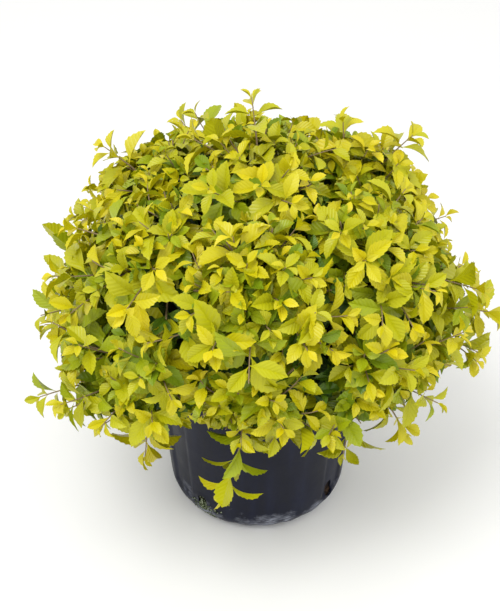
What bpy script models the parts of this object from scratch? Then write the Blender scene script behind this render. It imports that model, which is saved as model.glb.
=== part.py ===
"""Gold mound duranta in a black nursery pot, built in metres with +Z up.

The pot stands on the plane z = 0 with its centre at the origin, and its front faces -Y. Azimuths are in
degrees from the front towards +X. The shrub is a short stem with fourteen boughs, and its crown is
fifteen masses of foliage, each in its own share of the space inside one flat-topped mound.
"""

import math
import random

import bmesh
import bpy
from mathutils import Matrix, Vector
from mathutils.bvhtree import BVHTree

# The clearance between pieces that rest on or grow from each other
JOINT_GAP = 0.0003

# Pot: a blow-moulded number three nursery container
POT_HEIGHT = 0.241
POT_WALL = 0.0022
POT_SIDES = 48
FOOT_RADIUS = 0.114
HEEL_RADIUS = 0.025
SHOULDER_RADIUS = 0.1262
RIM_RADIUS = 0.1335
RIM_HEIGHT = 0.018
RIM_LIP = 0.0042
UNDER_RIM = POT_HEIGHT - RIM_HEIGHT

# Four shallow upright channels in the wall, and four drain slots just above the heel
CHANNEL_AZIMUTHS = (56.25, 123.75, -123.75, -56.25)
CHANNEL_WIDTH = 22.5
CHANNEL_DEPTH = 0.003
CHANNEL_RINGS = (0.0355, 0.201)
CHANNEL_END = 0.215
SLOT_AZIMUTHS = (53.0, 143.0, -127.0, -37.0)
SLOT_WIDTH = 0.013
SLOT_HEIGHTS = (0.021, 0.047)
SLOT_REACH = 0.030

# Potting mix
SOIL_LEVEL = 0.222
SOIL_HEAVE = 0.0025
SOIL_FLAT = 0.026
SOIL_EDGE_DROP = 0.004

# Short stem, hidden by the foliage
STEM_RADIUS = 0.0095
STEM_TIP_RADIUS = 0.0048
STEM_TIP = 0.352
STEM_SIDES = 12
STEM_LEAN = 0.006
FLARE_WIDTH = 0.007
FLARE_HEIGHT = 0.006

# Boughs
BOUGH_RADIUS = 0.0042
BOUGH_TIP_RADIUS = 0.0027
BOUGH_SIDES = 6
BOUGH_STEPS = 4
BOUGH_SAG = 0.0075
LOWER_FORK = 0.246
LOWER_FORK_STEP = 0.0085
UPPER_FORK = 0.306
UPPER_FORK_STEP = 0.007
LOWER_SEAT = 0.062
UPPER_SEAT = 0.056

# Crown: a flat-topped mound, a little fuller and lower towards its four corners
CROWN_RADIUS = 0.241
CROWN_CORNER = 0.105
CROWN_MIDDLE = 0.310
CROWN_TOP = 0.494
CROWN_FOOT = 0.212
CROWN_FOOT_DROP = 0.030
CROWN_LEAN = 0.07
CROWN_TOP_POWER = 1.35
CROWN_SHOULDER_POWER = 3.1

# Sites of the masses: how many in a ring, their reach from the axis and their height
LOWER_RING = (8, 0.163, 0.282)
UPPER_RING = (6, 0.116, 0.386)
TOP_SITE = (0.004, 0.004, 0.430)

# The space of a mass, and its core
SPACE_GAP = 0.0005
POT_CLEARANCE = 0.004
LIMB_CLEARANCE = 0.003
EDGE_DEPTH = 0.050
CORE_SHARE = 0.60
CORE_WALL_SHARE = 0.84
CORE_REACH = 0.120
CORE_SEAT = 0.012

# Twigs
TWIG_DIRECTIONS = 29
TWIG_SHARE = 0.74
TWIG_LEAST = 0.030
TWIG_RADIUS = 0.0028
TWIG_TAPER = 0.66
TWIG_SIDES = 3
SHORT_PAIRS = (0.78, 0.97)
LONG_PAIRS = (0.58, 0.77, 0.95)

# Leaves: fewer and larger than the living plant's, as shares of their length
LEAF_LENGTH = 0.052
LEAF_SHARES = (1.0, 0.84, 0.7, 0.58)
LEAF_HALF_WIDTH = 0.26
LEAF_WIDEST = 0.46
LEAF_ROOT = 0.016
LEAF_CURVES = (0.02, 0.05, 0.09)
LEAF_ANGLES = (54.0, 33.0, 75.0)
LEAF_DROOP = 0.22
LEAF_SINK = 0.0006
TIP_LEAF_SINK = 0.004
LEAF_FACES = ((0, 1, 4), (0, 4, 3), (3, 4, 5), (0, 3, 2), (2, 3, 5), (2, 5, 4), (2, 4, 1), (0, 2, 1))
LEAF_SPREAD = 0.13

# The share of a fused mass's triangles that is kept, once those that change no shape are merged,
# and how far up from its seat the stem of a mass is left as it is
STEM_FOOT = 0.009
KEPT_TRIANGLES = 0.5

# Long shoots that stand out of the mound: azimuth, reach from the axis and height of each tip
LONG_SHOOTS = (
    (-170.0, 0.050, 0.536),
    (118.0, 0.104, 0.505),
    (106.0, 0.184, 0.486),
    (-106.0, 0.186, 0.470),
    (-77.0, 0.216, 0.428),
    (-62.0, 0.284, 0.252),
    (80.0, 0.276, 0.304),
    (68.0, 0.270, 0.272),
    (-41.0, 0.198, 0.166),
    (-12.0, 0.206, 0.158),
    (32.0, 0.178, 0.172),
    (48.0, 0.226, 0.208),
    (150.0, 0.262, 0.300),
    (-148.0, 0.258, 0.245),
    (176.0, 0.226, 0.198),
    (-176.0, 0.190, 0.440),
)


def remove_all_objects():
    for obj in list(bpy.data.objects):
        bpy.data.objects.remove(obj, do_unlink=True)


def linear(hex_colour):
    """Linear RGBA of an sRGB hex colour."""
    channels = [int(hex_colour[i:i + 2], 16) / 255.0 for i in (1, 3, 5)]
    return [c / 12.92 if c <= 0.04045 else ((c + 0.055) / 1.055) ** 2.4 for c in channels] + [1.0]


def material(name, hex_colour, roughness):
    made = bpy.data.materials.new(name)
    made.use_nodes = True
    shader = made.node_tree.nodes["Principled BSDF"]
    shader.inputs["Base Color"].default_value = linear(hex_colour)
    shader.inputs["Roughness"].default_value = roughness
    shader.inputs["Metallic"].default_value = 0.0
    made.diffuse_color = linear(hex_colour)
    return made


def to_mesh(name, bm):
    """A mesh from a bmesh, which is freed."""
    mesh = bpy.data.meshes.new(name)
    bm.to_mesh(mesh)
    bm.free()
    return mesh


def add_object(name, bm, made=None, smooth_angle=None):
    """Put a bmesh in the scene as one object."""
    mesh = to_mesh(name, bm)
    obj = bpy.data.objects.new(name, mesh)
    bpy.context.scene.collection.objects.link(obj)
    if made is not None:
        mesh.materials.append(made)
    if smooth_angle is not None:
        mesh.shade_smooth()
        mesh.set_sharp_from_angle(angle=math.radians(smooth_angle))
    return obj


def apply_modifiers(obj):
    """Turn an object's modifiers into its mesh."""
    bpy.context.view_layer.update()
    graph = bpy.context.evaluated_depsgraph_get()
    mesh = bpy.data.meshes.new_from_object(obj.evaluated_get(graph))
    old = obj.data
    obj.modifiers.clear()
    obj.data = mesh
    bpy.data.meshes.remove(old)
    mesh.name = obj.name


def polar(azimuth, reach, height):
    """The point at an azimuth, a reach from the axis and a height."""
    angle = math.radians(azimuth)
    return Vector((reach * math.sin(angle), -reach * math.cos(angle), height))


def azimuth_of(point):
    return math.degrees(math.atan2(point.x, -point.y))


# Pot and potting mix


def spin_profile(profile):
    """Turn an open outline of (reach, height) pairs that starts and ends on the axis."""
    bm = bmesh.new()
    verts = [bm.verts.new((0.0, -reach, height)) for reach, height in profile]
    edges = [bm.edges.new(pair) for pair in zip(verts, verts[1:])]
    bmesh.ops.spin(bm, geom=verts + edges, cent=(0, 0, 0), axis=(0, 0, 1),
                   angle=math.tau, steps=POT_SIDES, use_merge=True)
    bmesh.ops.remove_doubles(bm, verts=bm.verts, dist=0.00001)
    bmesh.ops.recalc_face_normals(bm, faces=bm.faces)
    return bm


def wall_radius(height):
    """Outer radius of the pot's wall, which widens evenly from heel to rim."""
    share = (height - HEEL_RADIUS) / (UNDER_RIM - HEEL_RADIUS)
    return FOOT_RADIUS + share * (SHOULDER_RADIUS - FOOT_RADIUS)


def heel_arc(inset, steps):
    """Points of the rounded heel, this far inside the pot's outer face, from the underside up."""
    size = HEEL_RADIUS - inset
    turns = [math.radians(-90.0 + 90.0 * i / steps) for i in range(steps + 1)]
    return [(FOOT_RADIUS - HEEL_RADIUS + size * math.cos(t), HEEL_RADIUS + size * math.sin(t)) for t in turns]


def wall_points(inset):
    """Points of the wall above the heel, this far inside the pot's outer face."""
    return [(wall_radius(height) - inset, height) for height in CHANNEL_RINGS + (CHANNEL_END,)]


def press_channels(bm, low, high):
    """Push the wall in along the four upright channels, between two heights."""
    for vert in bm.verts:
        reach = math.hypot(vert.co.x, vert.co.y)
        if reach < 0.5 * FOOT_RADIUS or not low < vert.co.z < high:
            continue
        azimuth = azimuth_of(vert.co)
        if min(abs(azimuth - centre) for centre in CHANNEL_AZIMUTHS) < 0.4 * CHANNEL_WIDTH:
            vert.co.x *= 1.0 - CHANNEL_DEPTH / reach
            vert.co.y *= 1.0 - CHANNEL_DEPTH / reach


def slot_cutter(azimuth):
    """A block with rounded ends, which opens one drain slot just above the heel."""
    low, high = SLOT_HEIGHTS
    turn = Matrix.Rotation(math.radians(azimuth), 4, 'Z')
    place = turn @ Matrix.Translation((0.0, -FOOT_RADIUS, 0.5 * (low + high)))
    size = Matrix.Diagonal((SLOT_WIDTH, SLOT_REACH, high - low, 1.0))
    bm = bmesh.new()
    bmesh.ops.create_cube(bm, size=1.0, matrix=place @ size)
    radial = polar(azimuth, 1.0, 0.0)
    along = [e for e in bm.edges if abs((e.verts[1].co - e.verts[0].co).normalized().dot(radial)) > 0.9]
    bmesh.ops.bevel(bm, geom=along, offset=0.45 * SLOT_WIDTH, segments=3, profile=0.5,
                    affect='EDGES', material=-1)
    cutter = add_object("slot_cutter", bm)
    cutter.hide_render = True
    cutter.display_type = 'WIRE'
    return cutter


def make_pot(made):
    outer = [(0.0, 0.0)] + heel_arc(0.0, 4) + wall_points(0.0)
    outer += [(wall_radius(UNDER_RIM - 0.002), UNDER_RIM - 0.002), (RIM_RADIUS - 0.0012, UNDER_RIM),
              (RIM_RADIUS - 0.0006, UNDER_RIM + 0.002), (RIM_RADIUS, POT_HEIGHT - 0.002),
              (RIM_RADIUS - 0.0014, POT_HEIGHT)]
    inner = [(RIM_RADIUS - RIM_LIP, POT_HEIGHT), (RIM_RADIUS - RIM_LIP - 0.0012, POT_HEIGHT - 0.0015),
             (SHOULDER_RADIUS - POT_WALL, UNDER_RIM)]
    inner += wall_points(POT_WALL)[::-1] + heel_arc(POT_WALL, 3)[::-1] + [(0.0, POT_WALL)]
    bm = spin_profile(outer + inner)
    press_channels(bm, CHANNEL_RINGS[0] - 0.001, CHANNEL_RINGS[1] + 0.001)
    pot = add_object("pot", bm, made, 35.0)
    cutters = [slot_cutter(azimuth) for azimuth in SLOT_AZIMUTHS]
    for cutter in cutters:
        cut = pot.modifiers.new("slot", 'BOOLEAN')
        cut.operation = 'DIFFERENCE'
        cut.object = cutter
    apply_modifiers(pot)
    for cutter in cutters:
        bpy.data.objects.remove(cutter, do_unlink=True)


def make_soil(made):
    """The mix fills the pot. It is pressed in a ring beyond each channel's ends, to stay clear of the wall."""
    gap = POT_WALL + JOINT_GAP
    edge = wall_radius(SOIL_LEVEL) - gap - JOINT_GAP
    profile = [(0.0, gap)] + heel_arc(gap, 3) + wall_points(gap)
    profile += [(edge, SOIL_LEVEL - SOIL_EDGE_DROP), (0.9 * edge, SOIL_LEVEL), (0.6 * edge, SOIL_LEVEL),
                (SOIL_FLAT, SOIL_LEVEL), (0.0, SOIL_LEVEL)]
    bm = spin_profile(profile)
    press_channels(bm, HEEL_RADIUS - 0.001, CHANNEL_END + 0.001)
    seeded = random.Random(11)
    for vert in bm.verts:
        if vert.co.z > SOIL_LEVEL - 0.001 and math.hypot(vert.co.x, vert.co.y) > 1.2 * SOIL_FLAT:
            vert.co.z += seeded.uniform(-SOIL_HEAVE, SOIL_HEAVE)
    add_object("soil", bm, made, 50.0)


# Stem and boughs


def ring_matrix(centre, axis):
    """A matrix whose Z looks along an axis, for one ring of a limb."""
    return Matrix.Translation(centre) @ axis.to_track_quat('Z', 'Y').to_matrix().to_4x4()


def limb_mesh(centres, radii, sides, first_normal):
    """A tapering limb: rings along a line of points, bridged, and closed by flat ends.

    The first ring is slid along the limb until it lies square to first_normal.
    """
    bm = bmesh.new()
    rings = []
    for i, (centre, radius) in enumerate(zip(centres, radii)):
        before = centres[max(i - 1, 0)]
        after = centres[min(i + 1, len(centres) - 1)]
        axis = (after - before).normalized()
        made = bmesh.ops.create_circle(bm, segments=sides, radius=radius, matrix=ring_matrix(centre, axis))
        if i == 0:
            for vert in made["verts"]:
                vert.co -= axis * ((vert.co - centre).dot(first_normal) / axis.dot(first_normal))
        rings.append(made["verts"])
    loops = [[e for e in bm.edges if e.verts[0] in ring and e.verts[1] in ring] for ring in rings]
    for low, high in zip(loops, loops[1:]):
        bmesh.ops.bridge_loops(bm, edges=low + high)
    bm.faces.new(rings[0])
    bm.faces.new(rings[-1])
    bmesh.ops.recalc_face_normals(bm, faces=bm.faces)
    return bm


def stem_point(height):
    """Centre of the short stem at a height: it leans a little as it rises."""
    share = (height - SOIL_LEVEL) / (STEM_TIP - SOIL_LEVEL)
    return Vector((STEM_LEAN * share, 0.4 * STEM_LEAN * math.sin(3.0 * share), height))


def stem_radius(height):
    """The stem's taper, with its flare at the foot."""
    rise = height - SOIL_LEVEL
    taper = (STEM_TIP_RADIUS - STEM_RADIUS) * rise / (STEM_TIP - SOIL_LEVEL)
    return STEM_RADIUS + taper + FLARE_WIDTH * math.exp(-rise / FLARE_HEIGHT)


def make_trunk(made):
    """The stem, from a flat cut on the potting mix up to its tip. Returns it as a limb to keep clear of."""
    foot = SOIL_LEVEL + JOINT_GAP
    heights = [foot, foot + 0.004, foot + 0.009, foot + 0.018]
    heights += [foot + 0.018 + (STEM_TIP - foot - 0.018) * i / 4 for i in range(1, 5)]
    centres = [stem_point(h) for h in heights]
    radii = [stem_radius(h) for h in heights]
    add_object("trunk", limb_mesh(centres, radii, STEM_SIDES, Vector((0, 0, 1))), made, 40.0)
    return centres, radii


def bough_route(seat, fork):
    """Centres of a bough from just off the stem to its seat, sagging a little, and its way out."""
    across = Vector((seat.x, seat.y, 0.0)).normalized()
    start = stem_point(fork) + across * (stem_radius(fork - BOUGH_RADIUS) + JOINT_GAP)
    route = []
    for i in range(BOUGH_STEPS + 1):
        share = i / BOUGH_STEPS
        sag = BOUGH_SAG * math.sin(math.pi * share)
        route.append(start.lerp(seat, share) - Vector((0.0, 0.0, sag)))
    return route, across


# The space of the crown


def crown_reach(azimuth, height):
    """The mound's reach from its axis at an azimuth and a height, or 0 past its top or foot."""
    corner = 0.5 * (1.0 - math.cos(math.radians(4.0 * azimuth)))
    if height >= CROWN_MIDDLE:
        share = min(1.0, (height - CROWN_MIDDLE) / (CROWN_TOP - CROWN_MIDDLE))
        fall = (1.0 - share ** CROWN_TOP_POWER) ** (1.0 / CROWN_SHOULDER_POWER)
    else:
        foot = CROWN_FOOT - CROWN_FOOT_DROP * corner
        share = min(1.0, (CROWN_MIDDLE - height) / (CROWN_MIDDLE - foot))
        fall = math.sqrt(1.0 - share ** 3)
    return CROWN_RADIUS * (1.0 + CROWN_CORNER * corner) * fall


def in_mound(point):
    lean = CROWN_LEAN * max(0.0, point.z - CROWN_MIDDLE)
    moved = Vector((point.x - lean, point.y, point.z))
    return math.hypot(moved.x, moved.y) < crown_reach(azimuth_of(moved), point.z)


def clear_of_pot(point):
    over = point.z > POT_HEIGHT + POT_CLEARANCE
    return over or math.hypot(point.x, point.y) > RIM_RADIUS + POT_CLEARANCE


def limb_distance(point, limb):
    """Distance from a point to a limb's surface."""
    centres, radii = limb
    best = math.inf
    for a, b, ra, rb in zip(centres, centres[1:], radii, radii[1:]):
        along = b - a
        share = max(0.0, min(1.0, (point - a).dot(along) / along.length_squared))
        best = min(best, (point - a.lerp(b, share)).length - (ra + (rb - ra) * share))
    return best


class Space:
    """The share of the crown that one mass keeps to: nearer to its own site than to any other."""

    def __init__(self, site, others, limbs):
        self.site = site
        self.limbs = limbs
        self.walls = []
        for other in others:
            normal = (other - site).normalized()
            self.walls.append((normal, normal.dot(0.5 * (other + site)) - SPACE_GAP))

    def holds(self, point, in_crown=True):
        """Whether a point is in this share, clear of pot and limbs, and inside the mound if asked."""
        if any(normal.dot(point) > limit for normal, limit in self.walls):
            return False
        if in_crown and not in_mound(point):
            return False
        return clear_of_pot(point) and all(limb_distance(point, limb) > LIMB_CLEARANCE for limb in self.limbs)

    def reach(self, direction, step=0.002):
        """How far a ray from the site runs inside this share of the mound."""
        length = step
        while self.holds(self.site + direction * length):
            length += step
        return length - step

    def opens(self, direction, length):
        """Whether the mound's edge or the pot is near the end of a ray, and not another mass."""
        beyond = self.site + direction * (length + EDGE_DEPTH)
        return not in_mound(beyond) or not clear_of_pot(beyond)

    def core(self, seat):
        """The mass's core: a rounded body that fills the space evenly, flattened before its seat."""
        inward = seat - self.site
        depth = inward.length - CORE_SEAT
        inward.normalize()
        bm = bmesh.new()
        bmesh.ops.create_icosphere(bm, subdivisions=2, radius=1.0)
        for vert in bm.verts:
            direction = vert.co.normalized()
            length = self.reach(direction)
            share = CORE_SHARE if self.opens(direction, length) else CORE_WALL_SHARE
            size = share * min(length, CORE_REACH)
            facing = direction.dot(inward)
            if facing > 0.2:
                size = min(size, depth / facing)
            vert.co = self.site + direction * size
        return bm


# Twigs and leaves


def leaf_points(curve):
    """The corners of a leaf one metre long along +Y: flat above, with a keel below."""
    root, half, widest = LEAF_ROOT, LEAF_HALF_WIDTH, LEAF_WIDEST
    return [Vector(p) for p in ((-root, 0.0, root), (root, 0.0, root), (0.0, 0.0, -root),
                                (-half, widest, 0.0), (half, widest, 0.0), (0.0, 1.0, -curve))]


def leaf_mesh(curve):
    bm = bmesh.new()
    verts = [bm.verts.new(point) for point in leaf_points(curve)]
    for face in LEAF_FACES:
        bm.faces.new([verts[i] for i in face])
    return to_mesh("leaf", bm)


def twig_mesh():
    """A tapering three-sided twig, one metre long along +Z and one metre in radius at its foot."""
    bm = bmesh.new()
    bmesh.ops.create_cone(bm, cap_ends=True, segments=TWIG_SIDES, radius1=1.0, radius2=TWIG_TAPER,
                          depth=1.0, matrix=Matrix.Translation((0.0, 0.0, 0.5)))
    return to_mesh("twig", bm)


def leaf_probes():
    """Points along the midrib and the margins of a leaf one metre long, for testing that it fits."""
    half, widest, curve = LEAF_HALF_WIDTH, LEAF_WIDEST, LEAF_CURVES[-1]
    probes = [Vector((0.0, y, -curve * y * y)) for y in (0.25, 0.5, 0.75, 1.0)]
    for x in (-half, half):
        probes += [Vector((0.5 * x, 0.5 * widest, 0.0)), Vector((x, widest, 0.0)),
                   Vector((0.5 * x, 0.5 + 0.5 * widest, -0.5 * curve))]
    return probes


LEAF_PROBES = leaf_probes()


def place_leaf(base, along, upper, length):
    """The matrix that sets a leaf at its base, along a direction, with its upper side turned up."""
    y = along.normalized()
    x = y.cross(upper).normalized()
    turn = Matrix((x, y, x.cross(y))).transposed().to_4x4()
    return Matrix.Translation(base) @ turn @ Matrix.Scale(length, 4)


class Growth:
    """The twigs and leaves of one mass, grown from its stem by one seeded rule."""

    def __init__(self, space, seat, seed):
        self.space = space
        self.seat = seat
        self.random = random.Random(seed)
        self.twigs = []
        self.leaves = []
        self.grown = []

    def try_leaf(self, base, along, upper, node, in_crown):
        """Add the longest leaf that fits, and say whether one did."""
        towards = (along + Vector((0.0, 0.0, -LEAF_DROOP))).normalized()
        foot = base - towards * LEAF_SINK
        kind = self.random.randrange(len(LEAF_CURVES))
        for share in LEAF_SHARES:
            length = LEAF_LENGTH * share * self.random.uniform(0.94, 1.08)
            matrix = place_leaf(foot, towards, upper, length)
            if not all(self.space.holds(matrix @ probe, in_crown) for probe in LEAF_PROBES):
                continue
            if self.crosses_none(matrix, kind, node):
                self.leaves.append((matrix, kind))
                return True
        return False

    def crosses_none(self, matrix, kind, node):
        """Whether a leaf crosses no leaf but those at its own node. It is then noted for the next."""
        points = [matrix @ point for point in leaf_points(LEAF_CURVES[kind])]
        tree = BVHTree.FromPolygons(points, LEAF_FACES)
        foot = matrix.translation
        for other, other_foot, other_node in self.grown:
            near = (other_foot - foot).length < LEAF_SPREAD
            if near and other_node != node and tree.overlap(other):
                return False
        self.grown.append((tree, foot, node))
        return True

    def leaf_pair(self, place, along, turn, node, in_crown):
        """Two opposite leaves, each at the first angle from the twig at which it fits."""
        side = along.orthogonal().normalized()
        side.rotate(Matrix.Rotation(turn, 3, along))
        for sign in (1.0, -1.0):
            for angle in LEAF_ANGLES:
                spread = math.radians(angle + self.random.uniform(-7.0, 7.0))
                towards = along * math.cos(spread) + side * (sign * math.sin(spread))
                if self.try_leaf(place, towards, along, node, in_crown):
                    break

    def shoot(self, end, pairs, in_crown=True):
        """A twig from the stem to its end, with a leaf at the tip and pairs that turn by a quarter."""
        start = self.seat.lerp(self.space.site, self.random.uniform(0.75, 1.0))
        steps = 8
        line = [start.lerp(end, i / steps) for i in range(1, steps + 1)]
        if not all(self.space.holds(point, in_crown) for point in line):
            return
        along = end - start
        size = Matrix.Diagonal((TWIG_RADIUS, TWIG_RADIUS, along.length, 1.0))
        self.twigs.append(ring_matrix(start, along) @ size)
        along.normalize()
        turn = self.random.uniform(0.0, math.pi)
        for share in pairs:
            self.leaf_pair(start.lerp(end, share), along, turn, (len(self.twigs), share), in_crown)
            turn += 0.5 * math.pi
        upper = along.orthogonal() if abs(along.z) > 0.85 else Vector((0.0, 0.0, 1.0))
        node = (len(self.twigs), pairs[-1])
        self.try_leaf(end - TIP_LEAF_SINK * along, along, upper, node, in_crown)

    def grow(self, long_tips):
        """Short shoots out to the mound's open edge, evenly spread, and then the long ones."""
        golden = math.pi * (3.0 - math.sqrt(5.0))
        first = self.random.uniform(0.0, math.tau)
        for i in range(TWIG_DIRECTIONS):
            z = 1.0 - 2.0 * (i + 0.5) / TWIG_DIRECTIONS
            flat = math.sqrt(1.0 - z * z)
            angle = first + golden * i
            direction = Vector((flat * math.cos(angle), flat * math.sin(angle), z))
            length = self.space.reach(direction)
            if length > TWIG_LEAST and self.space.opens(direction, length):
                self.shoot(self.space.site + direction * (TWIG_SHARE * length), SHORT_PAIRS)
        for tip in long_tips:
            along = tip - self.space.site
            along.length -= 0.6 * LEAF_LENGTH
            self.shoot(self.space.site + along, LONG_PAIRS, in_crown=False)


def join_mass(name, growth, stem, made):
    """Fuse the core, stem, twigs and leaves of a mass into one closed solid."""
    group = bpy.data.collections.new(name + "_pieces")
    bpy.context.scene.collection.children.link(group)

    def add_piece(mesh, matrix):
        piece = bpy.data.objects.new(mesh.name, mesh)
        piece.matrix_world = matrix
        group.objects.link(piece)

    twig = twig_mesh()
    leaves = [leaf_mesh(curve) for curve in LEAF_CURVES]
    add_piece(to_mesh("stem", stem), Matrix())
    for matrix in growth.twigs:
        add_piece(twig, matrix)
    for matrix, kind in growth.leaves:
        add_piece(leaves[kind], matrix)
    mass = add_object(name, growth.space.core(growth.seat), made)
    join = mass.modifiers.new("join", 'BOOLEAN')
    join.operation = 'UNION'
    join.operand_type = 'COLLECTION'
    join.collection = group
    apply_modifiers(mass)
    for piece in list(group.objects):
        bpy.data.objects.remove(piece, do_unlink=True)
    bpy.data.collections.remove(group)
    keep_outer_shell(mass)
    foot = mass.vertex_groups.new(name="stem_foot")
    near = [v.index for v in mass.data.vertices if (v.co - growth.seat).length < STEM_FOOT]
    foot.add(near, 1.0, 'REPLACE')
    lighten = mass.modifiers.new("lighten", 'DECIMATE')
    lighten.ratio = KEPT_TRIANGLES
    lighten.vertex_group = foot.name
    lighten.invert_vertex_group = True
    lighten.vertex_group_factor = 1000.0
    apply_modifiers(mass)


def shells(bm):
    """The faces of each separate shell, smallest first."""
    left = set(bm.faces)
    found = []
    while left:
        stack = [left.pop()]
        shell = []
        while stack:
            face = stack.pop()
            shell.append(face)
            for other in {o for edge in face.edges for o in edge.link_faces} & left:
                left.discard(other)
                stack.append(other)
        found.append(shell)
    return sorted(found, key=len)


def keep_outer_shell(obj):
    """Fill sealed hollows and drop loose scraps, and make every face a triangle."""
    bm = bmesh.new()
    bm.from_mesh(obj.data)
    bmesh.ops.triangulate(bm, faces=bm.faces)
    bmesh.ops.dissolve_degenerate(bm, dist=0.000002, edges=bm.edges)
    bmesh.ops.triangulate(bm, faces=[f for f in bm.faces if len(f.verts) > 3])
    loose = [face for shell in shells(bm)[:-1] for face in shell]
    bmesh.ops.delete(bm, geom=loose, context='FACES')
    bm.to_mesh(obj.data)
    bm.free()


def make_crown(trunk, bark):
    """The boughs and the masses of foliage at their tips."""
    places = []
    for kind, (count, reach, height) in (("lower", LOWER_RING), ("upper", UPPER_RING)):
        places += [(f"{kind}_{i + 1}", polar(360.0 * i / count, reach, height)) for i in range(count)]
    radii = [BOUGH_RADIUS + (BOUGH_TIP_RADIUS - BOUGH_RADIUS) * i / BOUGH_STEPS for i in range(BOUGH_STEPS + 1)]
    limbs = [trunk]
    for index, (name, site) in enumerate(places):
        if name.startswith("lower"):
            fork = LOWER_FORK + LOWER_FORK_STEP * ((3 * index) % LOWER_RING[0])
            inset = LOWER_SEAT
        else:
            fork = UPPER_FORK + UPPER_FORK_STEP * (index - LOWER_RING[0])
            inset = UPPER_SEAT
        seat = site + (stem_point(fork) - site).normalized() * inset
        route, across = bough_route(seat, fork)
        add_object("bough_" + name, limb_mesh(route, radii, BOUGH_SIDES, across), bark, 40.0)
        limbs.append((route, radii))

    places.append(("top", Vector(TOP_SITE)))
    carriers = limbs[1:] + [trunk]
    sites = [site for _, site in places]
    tips = [polar(*shoot) for shoot in LONG_SHOOTS]
    golds = ("#d9cf3a", "#c8cb3f", "#b4c13c")
    for index, (name, site) in enumerate(places):
        centres, limb_radii = carriers[index]
        along = (centres[-1] - centres[-2]).normalized()
        seat = centres[-1] + along * JOINT_GAP
        radius = limb_radii[-1]
        stem = limb_mesh([seat, seat + along * 0.006, site], [radius, radius, 0.8 * radius], BOUGH_SIDES, along)
        growth = Growth(Space(site, [s for s in sites if s != site], limbs), seat, 100 + index)
        growth.grow([tip for tip in tips if min(sites, key=lambda s: (s - tip).length) == site])
        made = material("leaves_" + name, golds[index % len(golds)], 0.55)
        join_mass("foliage_" + name, growth, stem, made)


remove_all_objects()
make_pot(material("black_polyethylene", "#23252b", 0.5))
make_soil(material("potting_mix", "#3a2c20", 0.95))
young_bark = material("young_bark", "#7d6a52", 0.85)
make_crown(make_trunk(young_bark), young_bark)
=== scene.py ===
import math
import random

import bmesh
import bpy
import numpy as np
from mathutils import Matrix, Vector, noise


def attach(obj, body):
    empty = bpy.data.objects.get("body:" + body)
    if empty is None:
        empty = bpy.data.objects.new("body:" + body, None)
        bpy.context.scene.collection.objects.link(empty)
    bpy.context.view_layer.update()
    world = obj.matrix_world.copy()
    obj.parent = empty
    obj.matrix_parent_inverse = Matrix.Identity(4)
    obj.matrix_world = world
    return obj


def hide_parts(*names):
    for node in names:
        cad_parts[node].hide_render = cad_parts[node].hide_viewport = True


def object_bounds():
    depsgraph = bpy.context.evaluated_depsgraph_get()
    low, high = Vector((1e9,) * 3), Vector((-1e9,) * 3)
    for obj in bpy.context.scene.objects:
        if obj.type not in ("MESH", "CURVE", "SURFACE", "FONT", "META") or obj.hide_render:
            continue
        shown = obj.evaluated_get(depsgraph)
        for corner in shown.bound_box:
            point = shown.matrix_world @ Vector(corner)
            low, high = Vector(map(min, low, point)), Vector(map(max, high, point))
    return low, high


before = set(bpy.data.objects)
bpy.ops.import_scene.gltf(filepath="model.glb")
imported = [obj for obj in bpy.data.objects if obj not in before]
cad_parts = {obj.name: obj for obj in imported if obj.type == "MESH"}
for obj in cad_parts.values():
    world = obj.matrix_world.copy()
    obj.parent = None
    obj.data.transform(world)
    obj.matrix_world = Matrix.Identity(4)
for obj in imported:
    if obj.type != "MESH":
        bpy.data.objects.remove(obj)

CAD_BOUNDS = [[float(v) for v in corner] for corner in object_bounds()]


# The pot is a number three nursery container, blow-moulded in black polyethylene: a thin shell with a
# rounded heel, four shallow upright channels in its wall, a stepped rim with a rolled lip, and four
# drain slots cut through the heel. It stands flat on the ground.
POT_HEIGHT = 0.241
POT_WALL = 0.0022
POT_STEPS = 240
FOOT_RADIUS = 0.114
HEEL_RADIUS = 0.025
SHOULDER_RADIUS = 0.1262
RIM_RADIUS = 0.1335
UNDER_RIM = POT_HEIGHT - 0.018
CHANNELS = (56.25, 123.75, -123.75, -56.25)
CHANNEL_HALF = 11.0
CHANNEL_EDGE = 2.6
CHANNEL_DEPTH = 0.003
CHANNEL_LOW = 0.024
CHANNEL_HIGH = 0.211
SLOTS = (53.0, 143.0, -127.0, -37.0)
SLOT_WIDTH = 0.013
SLOT_LOW = 0.021
SLOT_HIGH = 0.047
SLOT_REACH = 0.030
SLOT_LIP = 0.0009
FLUTES = 22
FLUTE_DEPTH = 0.0016
FLUTE_TOP = 0.022


def linear(hex_colour):
    """Linear RGBA of an sRGB hex colour."""
    channels = [int(hex_colour[i:i + 2], 16) / 255.0 for i in (1, 3, 5)]
    return [c / 12.92 if c <= 0.04045 else ((c + 0.055) / 1.055) ** 2.4 for c in channels] + [1.0]


def add_node(tree, kind, inputs=None, stops=(), **settings):
    """Add a node with its settings, its inputs as values or sockets to link, and any colour stops."""
    node = tree.nodes.new(kind)
    for key, value in settings.items():
        setattr(node, key, value)
    for key, value in (inputs or {}).items():
        socket = node.inputs[key]
        if isinstance(value, bpy.types.NodeSocket):
            tree.links.new(value, socket)
        else:
            socket.default_value = value
    for index, (position, hex_colour) in enumerate(stops):
        elements = node.color_ramp.elements
        element = elements[index] if index < len(elements) else elements.new(position)
        element.position = position
        element.color = linear(hex_colour)
    return node


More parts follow.
